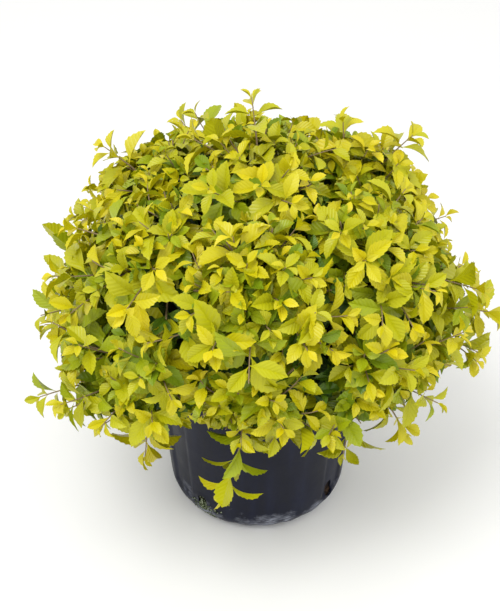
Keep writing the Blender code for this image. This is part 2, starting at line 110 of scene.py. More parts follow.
def new_material(name, hex_colour, roughness, specular=0.5):
    """A Principled material, with its node tree and its shader."""
    made = bpy.data.materials.new(name)
    made.use_nodes = True
    shader = made.node_tree.nodes["Principled BSDF"]
    shader.inputs["Base Color"].default_value = linear(hex_colour)
    shader.inputs["Roughness"].default_value = roughness
    shader.inputs["Specular IOR Level"].default_value = specular
    made.diffuse_color = linear(hex_colour)
    return made, made.node_tree, shader


def add_piece(name, mesh, made, slot, *nodes):
    """Put a finished mesh in the scene on the plant's one body, in place of its CAD nodes."""
    piece = bpy.data.objects.new(name, mesh)
    bpy.context.scene.collection.objects.link(piece)
    mesh.materials.clear()
    mesh.materials.append(made)
    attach(piece, "root")
    if nodes:
        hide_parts(*nodes)
    return piece


def mesh_of(bm, name, angle=None):
    """A mesh from a bmesh, shaded smooth up to an angle."""
    mesh = bpy.data.meshes.new(name)
    bm.to_mesh(mesh)
    bm.free()
    mesh.shade_smooth()
    if angle is not None:
        mesh.set_sharp_from_angle(angle=math.radians(angle))
    return mesh


def polar(azimuth, reach, height):
    angle = math.radians(azimuth)
    return Vector((reach * math.sin(angle), -reach * math.cos(angle), height))


def spin_profile(profile, steps):
    """Turn an outline of (reach, height) pairs about the pot's axis."""
    bm = bmesh.new()
    verts = [bm.verts.new((0.0, -reach, height)) for reach, height in profile]
    edges = [bm.edges.new(pair) for pair in zip(verts, verts[1:])]
    bmesh.ops.spin(bm, geom=verts + edges, cent=(0, 0, 0), axis=(0, 0, 1), angle=math.tau,
                   steps=steps, use_merge=True)
    bmesh.ops.remove_doubles(bm, verts=bm.verts, dist=0.00001)
    bmesh.ops.recalc_face_normals(bm, faces=bm.faces)
    return bm


def smooth_step(low, high, value):
    share = min(1.0, max(0.0, (value - low) / (high - low)))
    return share * share * (3.0 - 2.0 * share)


def wall_radius(height):
    share = (height - HEEL_RADIUS) / (UNDER_RIM - HEEL_RADIUS)
    return FOOT_RADIUS + share * (SHOULDER_RADIUS - FOOT_RADIUS)


def heel_arc(inset, steps):
    size = HEEL_RADIUS - inset
    turns = [math.radians(-90.0 + 90.0 * i / steps) for i in range(steps + 1)]
    return [(FOOT_RADIUS - HEEL_RADIUS + size * math.cos(t), HEEL_RADIUS + size * math.sin(t)) for t in turns]


def lip_arc(centre, height, size, first, last, steps):
    turns = [math.radians(first + (last - first) * i / steps) for i in range(steps + 1)]
    return [(centre + size * math.cos(t), height + size * math.sin(t)) for t in turns]


def channel_press(azimuth, height):
    """How far the wall is pressed in at an azimuth and a height."""
    across = 0.0
    for centre in CHANNELS:
        off = abs((azimuth - centre + 180.0) % 360.0 - 180.0)
        across = max(across, 1.0 - smooth_step(CHANNEL_HALF - CHANNEL_EDGE, CHANNEL_HALF, off))
    ends = smooth_step(CHANNEL_LOW, CHANNEL_LOW + 0.010, height)
    ends *= 1.0 - smooth_step(CHANNEL_HIGH - 0.010, CHANNEL_HIGH, height)
    return CHANNEL_DEPTH * across * ends


def press_wall(bm):
    for vert in bm.verts:
        reach = math.hypot(vert.co.x, vert.co.y)
        if reach > 0.5 * FOOT_RADIUS:
            azimuth = math.degrees(math.atan2(vert.co.x, -vert.co.y))
            share = 1.0 - channel_press(azimuth, vert.co.z) / reach
            vert.co.x *= share
            vert.co.y *= share


def raise_slot_lips(bm):
    """Swell the wall a little round each drain slot, as the mould leaves it."""
    for vert in bm.verts:
        reach = math.hypot(vert.co.x, vert.co.y)
        if reach < wall_radius(SLOT_LOW) - 0.5 * POT_WALL or vert.co.z > SLOT_HIGH + 0.02:
            continue
        azimuth = math.degrees(math.atan2(vert.co.x, -vert.co.y))
        for slot in SLOTS:
            aside = math.radians((azimuth - slot + 180.0) % 360.0 - 180.0) * reach
            above = max(0.0, abs(vert.co.z - 0.5 * (SLOT_LOW + SLOT_HIGH)) - 0.5 * (SLOT_HIGH - SLOT_LOW - SLOT_WIDTH))
            off = math.hypot(aside, above) - 0.5 * SLOT_WIDTH
            share = 1.0 + SLOT_LIP * (1.0 - smooth_step(0.0, 0.004, abs(off - 0.001))) / reach
            vert.co.x *= share
            vert.co.y *= share


def scallop_heel(bm):
    """Press shallow flutes into the heel, fading out above it."""
    for vert in bm.verts:
        reach = math.hypot(vert.co.x, vert.co.y)
        if reach > 0.8 * FOOT_RADIUS and vert.co.z < FLUTE_TOP:
            azimuth = math.atan2(vert.co.x, -vert.co.y)
            wave = 0.5 + 0.5 * math.cos(FLUTES * azimuth + 0.9 * math.sin(3.0 * azimuth))
            share = 1.0 - FLUTE_DEPTH * wave * (1.0 - smooth_step(0.004, FLUTE_TOP, vert.co.z)) / reach
            vert.co.x *= share
            vert.co.y *= share


def wall_heights(count):
    """Heights up the wall, closer together down at the drain slots."""
    low, high = HEEL_RADIUS + 0.001, UNDER_RIM - 0.004
    return [low + (high - low) * (i / (count - 1)) ** 1.5 for i in range(count)]


def apply_modifiers(obj):
    bpy.context.view_layer.update()
    graph = bpy.context.evaluated_depsgraph_get()
    mesh = bpy.data.meshes.new_from_object(obj.evaluated_get(graph))
    obj.modifiers.clear()
    return mesh


outer_wall = [(0.0, 0.0006), (0.070, 0.0006), (0.074, 0.0)] + heel_arc(0.0, 10)
outer_wall += [(wall_radius(h), h) for h in wall_heights(40)]
outer_wall += [(wall_radius(UNDER_RIM - 0.0015), UNDER_RIM - 0.0015), (wall_radius(UNDER_RIM) + 0.0008, UNDER_RIM)]
outer_wall += [(RIM_RADIUS - 0.0022, UNDER_RIM + 0.0003), (RIM_RADIUS - 0.0012, UNDER_RIM + 0.0014)]
outer_wall += [(RIM_RADIUS - 0.0008, UNDER_RIM + 0.006), (RIM_RADIUS - 0.0004, POT_HEIGHT - 0.006)]
outer_wall += lip_arc(RIM_RADIUS - 0.0021, POT_HEIGHT - 0.0021, 0.0021, 0.0, 180.0, 8)
inner_wall = [(RIM_RADIUS - 0.0044, POT_HEIGHT - 0.006), (RIM_RADIUS - 0.0048, UNDER_RIM + 0.004)]
inner_wall += [(SHOULDER_RADIUS - POT_WALL + 0.001, UNDER_RIM + 0.001)]
inner_wall += [(wall_radius(h) - POT_WALL, h) for h in wall_heights(40)[::-1]]
inner_wall += heel_arc(POT_WALL, 8)[::-1] + [(0.0, POT_WALL)]
shell = spin_profile(outer_wall + inner_wall, POT_STEPS)
press_wall(shell)
raise_slot_lips(shell)
scallop_heel(shell)
pot_form = bpy.data.objects.new("pot_form", mesh_of(shell, "pot_form", 38.0))
bpy.context.scene.collection.objects.link(pot_form)
slot_forms = []
for azimuth in SLOTS:
    slot_bm = bmesh.new()
    turn = Matrix.Rotation(math.radians(azimuth), 4, 'Z')
    place = turn @ Matrix.Translation((0.0, -FOOT_RADIUS, 0.5 * (SLOT_LOW + SLOT_HIGH)))
    size = Matrix.Diagonal((SLOT_WIDTH, SLOT_REACH, SLOT_HIGH - SLOT_LOW, 1.0))
    bmesh.ops.create_cube(slot_bm, size=1.0, matrix=place @ size)
    radial = polar(azimuth, 1.0, 0.0)
    ends = [e for e in slot_bm.edges if abs((e.verts[1].co - e.verts[0].co).normalized().dot(radial)) > 0.9]
    bmesh.ops.bevel(slot_bm, geom=ends, offset=0.45 * SLOT_WIDTH, segments=6, profile=0.5, affect='EDGES', material=-1)
    slot_form = bpy.data.objects.new("slot_form", mesh_of(slot_bm, "slot_form"))
    bpy.context.scene.collection.objects.link(slot_form)
    slot_form.hide_render = True
    cut = pot_form.modifiers.new("slot", 'BOOLEAN')
    cut.operation = 'DIFFERENCE'
    cut.object = slot_form
    slot_forms.append(slot_form)
pot_mesh = apply_modifiers(pot_form)
for form in slot_forms + [pot_form]:
    bpy.data.objects.remove(form, do_unlink=True)

# Blow-moulded black polyethylene: a blue-black satin skin, slightly rippled, greyed by dried water
# and dirt towards the heel, and scuffed where it has been dragged.
black_polyethylene, tree, shader = new_material("blow_moulded_polyethylene", "#0a0e22", 0.36, 0.18)
place = add_node(tree, "ShaderNodeTexCoord").outputs["Object"]
height = add_node(tree, "ShaderNodeSeparateXYZ", {"Vector": place}).outputs["Z"]
streaks = add_node(tree, "ShaderNodeMapping", {"Vector": place, "Scale": (60.0, 60.0, 7.0)}).outputs["Vector"]
streak = add_node(tree, "ShaderNodeTexNoise", {"Vector": streaks, "Scale": 1.0, "Detail": 4.0}).outputs["Fac"]
cloud = add_node(tree, "ShaderNodeTexNoise", {"Vector": place, "Scale": 34.0, "Detail": 6.0, "Roughness": 0.62})
scratch_place = add_node(tree, "ShaderNodeMapping", {"Vector": place, "Scale": (90.0, 90.0, 420.0)}).outputs["Vector"]
scratch = add_node(tree, "ShaderNodeTexNoise", {"Vector": scratch_place, "Scale": 1.0, "Detail": 3.0}).outputs["Fac"]
low = add_node(tree, "ShaderNodeMapRange", {"Value": height, "From Min": 0.105, "From Max": 0.022}).outputs["Result"]
dusty = add_node(tree, "ShaderNodeMath", {0: cloud.outputs["Fac"], 1: low}, operation='MULTIPLY').outputs["Value"]
dust = add_node(tree, "ShaderNodeMapRange", {"Value": dusty, "From Min": 0.42, "From Max": 0.64}).outputs["Result"]
skin = add_node(tree, "ShaderNodeValToRGB", {"Fac": streak}, [(0.30, "#070a19"), (0.55, "#0a0e22"), (0.78, "#11172e")]).outputs["Color"]
dirt = add_node(tree, "ShaderNodeValToRGB", {"Fac": scratch}, [(0.35, "#3d3f4a"), (0.62, "#8e929e")]).outputs["Color"]
mixed = add_node(tree, "ShaderNodeMix", {0: dust, 6: skin, 7: dirt}, data_type='RGBA').outputs[2]
tree.links.new(mixed, shader.inputs["Base Color"])
rough = add_node(tree, "ShaderNodeMapRange", {"Value": cloud.outputs["Fac"], "To Min": 0.34, "To Max": 0.58})
tree.links.new(rough.outputs["Result"], shader.inputs["Roughness"])
grain = add_node(tree, "ShaderNodeTexNoise", {"Vector": place, "Scale": 900.0, "Detail": 2.0}).outputs["Fac"]
bump = add_node(tree, "ShaderNodeBump", {"Height": grain, "Strength": 0.12, "Distance": 0.0002})
ripple = add_node(tree, "ShaderNodeBump", {"Height": cloud.outputs["Fac"], "Strength": 0.25, "Distance": 0.0012,
                                           "Normal": bump.outputs["Normal"]})
tree.links.new(ripple.outputs["Normal"], shader.inputs["Normal"])
add_piece("nursery_pot", pot_mesh, black_polyethylene, "pot", "pot")


# The potting mix is composted bark and peat, settled a little below the rim. Its top is a crust of
# coarse crumbs and bark chips, and it shows as well through the drain slots.
SOIL_LEVEL = 0.222
gap = POT_WALL + 0.0003
soil_edge = wall_radius(SOIL_LEVEL) - gap - 0.0003
rings = [soil_edge * (1.0 - i / 30.0) for i in range(1, 30)]
soil_outline = [(0.0, gap)] + heel_arc(gap, 6) + [(wall_radius(h) - gap, h) for h in wall_heights(12)[:-1]]
soil_outline += [(soil_edge, SOIL_LEVEL - 0.004)] + [(r, SOIL_LEVEL - 0.001) for r in rings] + [(0.0, SOIL_LEVEL)]
soil = spin_profile(soil_outline, 144)
press_wall(soil)
for vert in soil.verts:
    if vert.co.z > SOIL_LEVEL - 0.0035:
        lumps = noise.fractal(vert.co * 90.0, 0.8, 2.0, 4) * 0.0016 + noise.noise(vert.co * 260.0) * 0.0009
        calm = smooth_step(0.010, 0.030, math.hypot(vert.co.x, vert.co.y))
        vert.co.z += calm * lumps
    elif vert.co.z > 0.01:
        vert.co *= 1.0 - 0.004 * max(0.0, noise.noise(vert.co * 120.0))
composted_bark, tree, shader = new_material("composted_bark_mix", "#1f150d", 0.95, 0.2)
place = add_node(tree, "ShaderNodeTexCoord").outputs["Object"]
crumbs = add_node(tree, "ShaderNodeTexVoronoi", {"Vector": place, "Scale": 260.0, "Randomness": 1.0})
fine = add_node(tree, "ShaderNodeTexNoise", {"Vector": place, "Scale": 420.0, "Detail": 5.0}).outputs["Fac"]
tone = add_node(tree, "ShaderNodeValToRGB", {"Fac": crumbs.outputs["Color"]}, [(0.15, "#0d0906"), (0.5, "#1f150d"), (0.85, "#3d2c1d")]).outputs["Color"]
tree.links.new(tone, shader.inputs["Base Color"])
relief = add_node(tree, "ShaderNodeBump", {"Height": crumbs.outputs["Distance"], "Strength": 0.8, "Distance": 0.0012})
relief = add_node(tree, "ShaderNodeBump", {"Height": fine, "Strength": 0.4, "Distance": 0.0004,
                                           "Normal": relief.outputs["Normal"]})
tree.links.new(relief.outputs["Normal"], shader.inputs["Normal"])
add_piece("potting_mix", mesh_of(soil, "potting_mix", 60.0), composted_bark, "soil", "soil")


# Chips of bark lie loose on the mix, dark and worn, as the nursery's coarse top layer.
rng = np.random.default_rng(41)
chips = bmesh.new()
for _ in range(420):
    reach = soil_edge * math.sqrt(rng.uniform(0.06, 0.90))
    spot = polar(rng.uniform(0.0, 360.0), reach, SOIL_LEVEL + rng.uniform(0.0, 0.0016))
    size = Matrix.Diagonal((rng.uniform(0.002, 0.0055), rng.uniform(0.0012, 0.003), rng.uniform(0.0006, 0.0015), 1.0))
    turn = Matrix.Rotation(rng.uniform(0.0, math.tau), 4, 'Z') @ Matrix.Rotation(rng.uniform(-0.5, 0.5), 4, 'X')
    bmesh.ops.create_icosphere(chips, subdivisions=1, radius=1.0, matrix=Matrix.Translation(spot) @ turn @ size)
for vert in chips.verts:
    vert.co += Vector((0.0005, 0.0005, 0.0003)) * noise.noise(vert.co * 900.0)
bark_chip, tree, shader = new_material("worn_bark_chips", "#4a3524", 0.9)
place = add_node(tree, "ShaderNodeTexCoord").outputs["Object"]
patch = add_node(tree, "ShaderNodeTexNoise", {"Vector": place, "Scale": 300.0, "Detail": 3.0}).outputs["Fac"]
tone = add_node(tree, "ShaderNodeValToRGB", {"Fac": patch}, [(0.3, "#2a1c12"), (0.55, "#513a27"), (0.75, "#7c6044")]).outputs["Color"]
tree.links.new(tone, shader.inputs["Base Color"])
relief = add_node(tree, "ShaderNodeBump", {"Height": patch, "Strength": 0.6, "Distance": 0.0005})
tree.links.new(relief.outputs["Normal"], shader.inputs["Normal"])
add_piece("bark_chips", mesh_of(chips, "bark_chips"), bark_chip, "soil")


# Moss and grit have gathered in the drain slot at the front left and spilt over the heel below it:
# small rounded cushions and grains, dark, grey-green and pale.
crumbs_bm = bmesh.new()
for i in range(620):
    in_slot = i % 2 == 0
    height = 0.0225 + abs(rng.normal(0.0, 0.0085)) if in_slot else rng.uniform(0.009, 0.034)
    aside = rng.normal(0.0, 0.0042 if in_slot else 0.0088)
    spilt = 0.0035 if in_slot else 0.0
    if height > SLOT_HIGH - 0.004 or (in_slot and abs(aside) > 0.42 * SLOT_WIDTH):
        continue
    if height < HEEL_RADIUS:
        drop = HEEL_RADIUS - height
        reach = FOOT_RADIUS - HEEL_RADIUS + math.sqrt(HEEL_RADIUS ** 2 - drop ** 2) - 0.0008
    else:
        reach = wall_radius(height) - spilt * rng.random() + 0.0002
    spot = polar(SLOTS[3] + math.degrees(aside / reach), reach, height)
    size = rng.uniform(0.0005, 0.0014)
    bmesh.ops.create_icosphere(crumbs_bm, subdivisions=1, radius=size, matrix=Matrix.Translation(spot))
moss, tree, shader = new_material("dry_moss_and_grit", "#5f6b4a", 0.95, 0.2)
place = add_node(tree, "ShaderNodeTexCoord").outputs["Object"]
patch = add_node(tree, "ShaderNodeTexNoise", {"Vector": place, "Scale": 420.0, "Detail": 2.0}).outputs["Fac"]
tone = add_node(tree, "ShaderNodeValToRGB", {"Fac": patch}, [(0.40, "#1d1c15"), (0.52, "#4a5a34"), (0.64, "#a3aa92")]).outputs["Color"]
tree.links.new(tone, shader.inputs["Base Color"])
relief = add_node(tree, "ShaderNodeBump", {"Height": patch, "Strength": 0.7, "Distance": 0.0006})
tree.links.new(relief.outputs["Normal"], shader.inputs["Normal"])
add_piece("moss_crumbs", mesh_of(crumbs_bm, "moss_crumbs"), moss, "soil")


# A short woody stem rises from the mix and leans a little, flared at its foot, and forks into boughs
# inside the foliage. Its bark is thin and grey-brown, ridged lengthwise and dotted with corky pores.
JOINT_GAP = 0.0003
STEM_RADIUS = 0.0095
STEM_TIP_RADIUS = 0.0048
STEM_TIP = 0.352
STEM_LEAN = 0.006
FLARE_WIDTH = 0.007
FLARE_HEIGHT = 0.006


def stem_point(height):
    share = (height - SOIL_LEVEL) / (STEM_TIP - SOIL_LEVEL)
    return Vector((STEM_LEAN * share, 0.4 * STEM_LEAN * math.sin(3.0 * share), height))


def stem_radius(height):
    rise = height - SOIL_LEVEL
    taper = (STEM_TIP_RADIUS - STEM_RADIUS) * rise / (STEM_TIP - SOIL_LEVEL)
    return STEM_RADIUS + taper + FLARE_WIDTH * math.exp(-rise / FLARE_HEIGHT)


def limb(bm, centres, radii, sides, first_normal):
    """A tapering limb: rings along a line of points, bridged, with closed ends."""
    rings = []
    for i, (centre, radius) in enumerate(zip(centres, radii)):
        axis = (centres[min(i + 1, len(centres) - 1)] - centres[max(i - 1, 0)]).normalized()
        turn = Matrix.Translation(centre) @ axis.to_track_quat('Z', 'Y').to_matrix().to_4x4()
        ring = bmesh.ops.create_circle(bm, segments=sides, radius=radius, matrix=turn)["verts"]
        if i == 0:
            for vert in ring:
                vert.co -= axis * ((vert.co - centre).dot(first_normal) / axis.dot(first_normal))
        rings.append(ring)
    loops = [[bm.edges.get((a, b)) for a, b in zip(ring, ring[1:] + ring[:1])] for ring in rings]
    for low, high in zip(loops, loops[1:]):
        bmesh.ops.bridge_loops(bm, edges=low + high)
    bm.faces.new(rings[0][::-1])
    bm.faces.new(rings[-1])
    return rings


def roughen(rings, centres, ridge, knob):
    """Press a bark's ridges, and small scattered lumps, into a limb's own rings."""
    for ring, centre in zip(rings[1:-1], centres[1:-1]):
        for vert in ring:
            out = (vert.co - centre).normalized()
            stretched = Vector((vert.co.x * 420.0, vert.co.y * 420.0, vert.co.z * 70.0))
            lift = ridge * noise.fractal(stretched, 0.7, 2.0, 3) + knob * noise.noise(vert.co * 95.0)
            vert.co += out * lift


grey_bark, tree, shader = new_material("thin_grey_brown_bark", "#8a755b", 0.82)
place = add_node(tree, "ShaderNodeTexCoord").outputs["Object"]
lengthwise = add_node(tree, "ShaderNodeMapping", {"Vector": place, "Scale": (480.0, 480.0, 60.0)}).outputs["Vector"]
fibre = add_node(tree, "ShaderNodeTexNoise", {"Vector": lengthwise, "Scale": 1.0, "Detail": 5.0}).outputs["Fac"]
pores = add_node(tree, "ShaderNodeTexVoronoi", {"Vector": place, "Scale": 330.0}).outputs["Distance"]
tone = add_node(tree, "ShaderNodeValToRGB", {"Fac": fibre}, [(0.30, "#54432f"), (0.52, "#8b7559"), (0.72, "#b19b7c")]).outputs["Color"]
tree.links.new(tone, shader.inputs["Base Color"])
relief = add_node(tree, "ShaderNodeBump", {"Height": fibre, "Strength": 0.6, "Distance": 0.0006})
relief = add_node(tree, "ShaderNodeBump", {"Height": pores, "Strength": 0.35, "Distance": 0.0004,
                                           "Normal": relief.outputs["Normal"]})
tree.links.new(relief.outputs["Normal"], shader.inputs["Normal"])

foot = SOIL_LEVEL + JOINT_GAP
stem_heights = [foot + (STEM_TIP - foot) * (i / 64.0) ** 1.15 for i in range(65)]
stem_centres = [stem_point(h) for h in stem_heights]
stem_bm = bmesh.new()
stem_rings = limb(stem_bm, stem_centres, [stem_radius(h) for h in stem_heights], 28, Vector((0, 0, 1)))
roughen(stem_rings, stem_centres, 0.00045, 0.0004)
add_piece("stem", mesh_of(stem_bm, "stem", 50.0), grey_bark, "bark", "trunk")


# Fourteen boughs leave the stem one above another, eight to the lower masses of foliage and six to the
# upper. Each is one slender limb that sags a little under its leaves, in the same bark.
BOUGH_RADIUS = 0.0042
BOUGH_TIP_RADIUS = 0.0027
BOUGH_SAG = 0.0075
LOWER_RING = (8, 0.163, 0.282)
UPPER_RING = (6, 0.116, 0.386)
TOP_SITE = Vector((0.004, 0.004, 0.430))
LOWER_SEAT = 0.062
UPPER_SEAT = 0.056
BOUGH_RINGS = 22

places = []
for kind, (count, reach, height) in (("lower", LOWER_RING), ("upper", UPPER_RING)):
    places += [(f"{kind}_{i + 1}", polar(360.0 * i / count, reach, height)) for i in range(count)]
boughs_bm = bmesh.new()
seats = []
for index, (name, site) in enumerate(places):
    lower = name.startswith("lower")
    fork = 0.246 + 0.0085 * ((3 * index) % LOWER_RING[0]) if lower else 0.306 + 0.007 * (index - LOWER_RING[0])
    seat = site + (stem_point(fork) - site).normalized() * (LOWER_SEAT if lower else UPPER_SEAT)
    across = Vector((seat.x, seat.y, 0.0)).normalized()
    start = stem_point(fork) + across * (stem_radius(fork - BOUGH_RADIUS) + JOINT_GAP)
    route = []
    for i in range(BOUGH_RINGS + 1):
        share = i / BOUGH_RINGS
        route.append(start.lerp(seat, share) - Vector((0.0, 0.0, BOUGH_SAG * math.sin(math.pi * share))))
    radii = [BOUGH_RADIUS + (BOUGH_TIP_RADIUS - BOUGH_RADIUS) * i / BOUGH_RINGS for i in range(BOUGH_RINGS + 1)]
    rings = limb(boughs_bm, route, radii, 14, across)
    roughen(rings, route, 0.00022, 0.0003)
    seats.append((seat, (route[-1] - route[-2]).normalized()))
seats.append((stem_point(STEM_TIP), Vector((0.0, 0.0, 1.0))))
places.append(("top", TOP_SITE))
add_piece("boughs", mesh_of(boughs_bm, "boughs", 50.0), grey_bark, "bark",
          *["bough_" + name for name, _ in places[:-1]])


# The crown is a flat-topped mound of leafy shoots. From each bough's tip main twigs fan out to the
# mound's face, and leafy shoots branch from them, with opposite pairs of leaves a quarter turned at
# each node, down to the youngest pair at the tip. A few long shoots stand out of the mound.
CROWN_RADIUS = 0.241
CROWN_CORNER = 0.105
CROWN_MIDDLE = 0.310
CROWN_TOP = 0.494
CROWN_FOOT = 0.212
CROWN_FOOT_DROP = 0.030
CROWN_LEAN = 0.07
CROWN_TOP_POWER = 1.35
CROWN_SHOULDER_POWER = 3.1
FRONT_TUCK = 0.034
TUCK_AZIMUTH = 12.0
POT_CLEARANCE = 0.004
EDGE_DEPTH = 0.050
TWIG_DIRECTIONS = 29
TWIG_SHARE = 0.74
INNER_SHARE = 0.90
TWIG_LEAST = 0.030
SHOOT_DIRECTIONS = 84
LEAF_LENGTH = 0.044
NODE_STEP = 0.0140
PROUD_SHARE = 0.30
TOP_TUCK = 0.014
LONG_SHOOTS = ((-170.0, 0.050, 0.536), (118.0, 0.104, 0.505), (106.0, 0.184, 0.486), (-106.0, 0.186, 0.470),
               (-77.0, 0.216, 0.428), (-62.0, 0.284, 0.252), (80.0, 0.290, 0.304), (68.0, 0.270, 0.272),
               (-41.0, 0.198, 0.166), (-12.0, 0.206, 0.158), (32.0, 0.178, 0.172), (48.0, 0.226, 0.208),
               (150.0, 0.262, 0.300), (-148.0, 0.258, 0.245), (176.0, 0.226, 0.198), (-176.0, 0.190, 0.440))


def crown_reach(azimuth, height):
    """The mound's reach from its axis at an azimuth and a height, or 0 past its top or foot."""
    corner = 0.5 * (1.0 - math.cos(math.radians(4.0 * azimuth)))
    if height >= CROWN_MIDDLE:
        share = min(1.0, (height - CROWN_MIDDLE) / (CROWN_TOP - CROWN_MIDDLE))
        fall = (1.0 - share ** CROWN_TOP_POWER) ** (1.0 / CROWN_SHOULDER_POWER)
    else:
        low = CROWN_FOOT - CROWN_FOOT_DROP * corner
        share = min(1.0, (CROWN_MIDDLE - height) / (CROWN_MIDDLE - low))
        fall = math.sqrt(1.0 - share ** 3)
    return CROWN_RADIUS * (1.0 + CROWN_CORNER * corner) * fall


def in_mound(point, margin=0.0):
    x = point.x - CROWN_LEAN * max(0.0, point.z - CROWN_MIDDLE)
    shrink = 1.0 - margin / CROWN_RADIUS
    x, y = x * shrink, point.y * shrink
    z = CROWN_MIDDLE + (point.z - CROWN_MIDDLE) * shrink
    return math.hypot(x, y) < crown_reach(math.degrees(math.atan2(x, -y)), z)


def front_tuck(point):
    """How much farther in the mound's face lies, low down at the front, where it shows the pot."""
    aside = abs(math.degrees(math.atan2(point.x, -point.y)) - TUCK_AZIMUTH)
    low = 1.0 - smooth_step(CROWN_MIDDLE - 0.02, CROWN_MIDDLE + 0.07, point.z)
    return FRONT_TUCK * low * (1.0 - smooth_step(30.0, 60.0, aside))


def clear_of_pot(point):
    over = point.z > POT_HEIGHT + POT_CLEARANCE
    return over or math.hypot(point.x, point.y) > RIM_RADIUS + POT_CLEARANCE


def in_box(point):
    return all(low < value < high for low, value, high in zip(CAD_BOUNDS[0], point, CAD_BOUNDS[1]))


def golden_direction(index, count, first):
    z = 1.0 - 2.0 * (index + 0.5) / count
    flat = math.sqrt(1.0 - z * z)
    angle = first + math.pi * (3.0 - math.sqrt(5.0)) * index
    return Vector((flat * math.cos(angle), flat * math.sin(angle), z))


def bend(start, pull, end, count):
    """Points along a twig that leaves its carrier towards one point and ends at another."""
    shares = [i / count for i in range(count + 1)]
    return [start * (1 - s) ** 2 + pull * (2 * s * (1 - s)) + end * s * s for s in shares]


class Mass:
    """The twigs and leaves of one mass of foliage, in its own share of the mound."""

    def __init__(self, site, others, seat, along, seed):
        self.site = site
        self.walls = []
        for other in others:
            normal = (other - site).normalized()
            self.walls.append((normal, normal.dot(0.5 * (other + site))))
        self.seat = seat
        self.along = along
        self.random = random.Random(seed)
        self.twigs = []
        self.leaves = []

    def holds(self, point):
        if any(normal.dot(point) > limit for normal, limit in self.walls):
            return False
        return in_mound(point, -front_tuck(point)) and clear_of_pot(point)

    def reach(self, direction, step=0.004):
        length = step
        while self.holds(self.site + direction * length):
            length += step
        return length - step

    def opens(self, direction, length):
        beyond = self.site + direction * (length + EDGE_DEPTH)
        return not in_mound(beyond) or not clear_of_pot(beyond)

    def leaf(self, base, towards, upper, length, tint, free):
        """One leaf, left out where its blade would enter the pot, or stand out of the mound too far."""
        towards = (towards + Vector((0.0, 0.0, -0.16))).normalized()
        across = towards.cross(upper).normalized()
        tip = base + towards * length
        low = base + towards * (0.6 * length)
        if not (clear_of_pot(tip) and clear_of_pot(low) and in_box(tip)):
            return
        margin = 0.004 if CROWN_MIDDLE - 0.06 < tip.z < CROWN_TOP - 0.04 else -0.010
        if not free and not in_mound(tip, margin - front_tuck(tip)):
            return
        self.leaves.append((base, across, towards, across.cross(towards), length, tint))

    def leafy_shoot(self, line, size, tint, nodes, free=False, greening=0.42):
        """Pairs of leaves from a shoot's tip back along it, growing larger and farther apart."""
        lengths = [(b - a).length for a, b in zip(line, line[1:])]
        total = sum(lengths)
        back = 0.0015
        turn = self.random.uniform(0.0, math.pi)
        for node in range(nodes):
            along, place = walk(line, lengths, total - back)
            side = along.orthogonal().normalized()
            side.rotate(Matrix.Rotation(turn, 3, along))
            age = min(1.0, (node + 0.55) / 3.4)
            upper = (along * 0.8 + Vector((0.0, 0.0, 0.45)) + self.scatter(0.30)).normalized()
            for sign in (1.0, -1.0):
                angle = math.radians(24.0 + 42.0 * age + self.random.uniform(-15.0, 15.0))
                towards = along * math.cos(angle) + side * (sign * math.sin(angle))
                length = size * LEAF_LENGTH * (0.30 + 0.74 * age) * self.random.uniform(0.86, 1.12)
                self.leaf(place, towards, upper, length, tint + greening * node + self.random.gauss(0.0, 0.35), free)
            turn += 0.5 * math.pi + self.random.uniform(-0.25, 0.25)
            back += NODE_STEP * size * (0.5 + 0.62 * age)
            if back > total:
                break

    def grow(self, long_tips):
        """Main twigs to the mound's open faces, then leafy shoots from them, then the long shoots."""
        first = self.random.uniform(0.0, math.tau)
        mains = []
        self.twigs.append(([self.seat, self.seat + self.along * 0.006, self.site], 0.0027, 0.0021))
        for i in range(TWIG_DIRECTIONS):
            direction = golden_direction(i, TWIG_DIRECTIONS, first)
            length = self.reach(direction)
            if length < TWIG_LEAST:
                continue
            outer = self.opens(direction, length)
            start = self.seat.lerp(self.site, self.random.uniform(0.75, 1.0))
            end = self.site + direction * ((TWIG_SHARE if outer else INNER_SHARE) * length)
            pull = start.lerp(end, 0.5) + Vector((0.0, 0.0, self.random.uniform(-0.006, 0.004)))
            line = bend(start, pull, end, 5)
            self.twigs.append((line, 0.0017, 0.0010))
            self.leafy_shoot(line, 1.0, 2.6 if outer else 4.6, 5)
            if outer:
                mains.append(line)
        first = self.random.uniform(0.0, math.tau)
        for i in range(SHOOT_DIRECTIONS):
            direction = golden_direction(i, SHOOT_DIRECTIONS, first)
            length = self.reach(direction)
            if not mains or length < TWIG_LEAST or not self.opens(direction, length):
                continue
            proud = self.random.random() < PROUD_SHARE and self.site.z + length * direction.z > CROWN_MIDDLE - 0.05
            stand = self.random.uniform(0.006, 0.022) * (1.0 - 0.9 * max(0.0, direction.z))
            length += stand if proud else -self.random.uniform(0.04, 0.24) * length
            length -= TOP_TUCK * max(0.0, direction.z)
            tip = self.site + direction * length
            if not (in_box(tip) and clear_of_pot(tip)):
                continue
            line = min(mains, key=lambda main: (main[3] - tip).length)
            start = line[1].lerp(line[3], self.random.random())
            pull = start.lerp(tip, 0.45) + (line[4] - line[2]) * 0.4 + Vector((0.0, 0.0, -0.004))
            shoot = bend(start, pull, tip, 6)
            self.twigs.append((shoot, 0.0010, 0.0006))
            self.leafy_shoot(shoot, self.random.uniform(0.80, 1.14), self.spray_tint(tip), 7, free=proud)
        for tip in long_tips:
            end = tip - (tip - self.site).normalized() * 0.010
            pull = self.site.lerp(end, 0.5) + Vector((0.0, 0.0, 0.006))
            line = bend(self.site, pull, end, 9)
            self.twigs.append((line, 0.0017, 0.0006))
            size = self.random.uniform(0.88, 1.05)
            self.leafy_shoot(line, size, self.random.uniform(-0.2, 0.9), 8, free=True, greening=0.22)

    def scatter(self, size):
        return Vector([self.random.gauss(0.0, size) for _ in range(3)])

